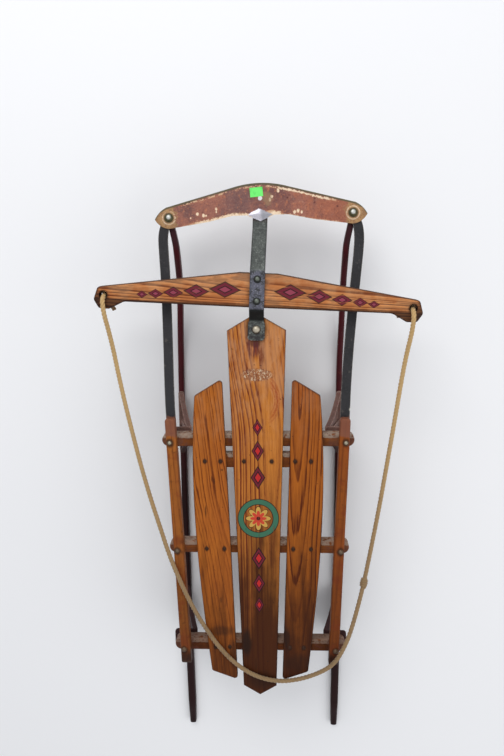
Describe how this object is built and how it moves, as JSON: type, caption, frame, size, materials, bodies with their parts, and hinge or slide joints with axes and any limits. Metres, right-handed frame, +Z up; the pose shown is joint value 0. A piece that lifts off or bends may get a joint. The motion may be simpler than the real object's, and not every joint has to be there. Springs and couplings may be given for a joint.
{
  "type": "runner sled",
  "caption": "Low sled with a slatted wooden deck on steel runners, a turning wooden steering bar that flexes the runner fronts, and a rope looped back over the deck.",
  "frame": {"origin": "on the ground under the middle of the sled's box, as it stands flat on its runners", "axes": "+X to the rider's right, +Y forward towards the bumper, +Z up"},
  "size_m": [0.5159, 1.034, 0.1696],
  "materials": {
    "deck_wood": "worn clear varnish",
    "bar_wood": "worn clear varnish",
    "runner_paint": "worn dark red enamel",
    "iron_black": "black enamel",
    "knee_paint": "dull brown red enamel",
    "bumper_paint": "rubbed brown red over cream",
    "strap_steel": "worn dark grey",
    "bright_steel": "dull plated",
    "rope_fibre": "twisted natural fibre"
  },
  "bodies": {
    "sled": {"centre_plank": "deck_wood", "side_slat_left": "deck_wood", "side_slat_right": "deck_wood", "front_bench": "deck_wood", "middle_bench": "deck_wood", "rear_bench": "deck_wood", "deck_cleat": "deck_wood", "side_rail_left": "deck_wood", "side_rail_right": "deck_wood", "deck_rivets_front": "bright_steel", "deck_rivets_middle": "bright_steel", "deck_rivets_rear": "bright_steel", "rail_bolts": "bright_steel", "runner_left": "runner_paint", "runner_right": "runner_paint", "side_iron_left": "iron_black", "side_iron_right": "iron_black", "pivot_bolt": "bright_steel", "tow_rope": "rope_fibre", "knee_rivets": "knee_paint", "knee_front_left": "knee_paint", "knee_front_right": "knee_paint", "knee_rear_left": "knee_paint", "knee_rear_right": "knee_paint"},
    "steering": {"steering_bar": "bar_wood", "steering_strap": "strap_steel", "steering_bar_bolts": "bright_steel", "rope_knot_left": "rope_fibre", "rope_knot_right": "rope_fibre"},
    "front": {"bumper": "bumper_paint", "bumper_bolt_left": "bright_steel", "bumper_bolt_right": "bright_steel", "strap_pin": "bright_steel"}
  },
  "joints": [
    {"name": "steering_pivot", "type": "hinge", "parent": "sled", "child": "steering", "pos_m": [0, 0.288, 0.143], "axis": [0, 0, 1], "range_deg": [-5, 11], "deforming": ["tow_rope"]},
    {"name": "front_swing", "type": "slide", "parent": "sled", "child": "front", "axis": [1, 0, 0], "range_m": [-0.0363, 0.0166], "deforming": ["runner_left", "runner_right", "side_iron_left", "side_iron_right"]}
  ],
  "couplings": [
    {"joint": "front_swing", "follows": "steering_pivot", "m_per_rad": -0.188}
  ]
}
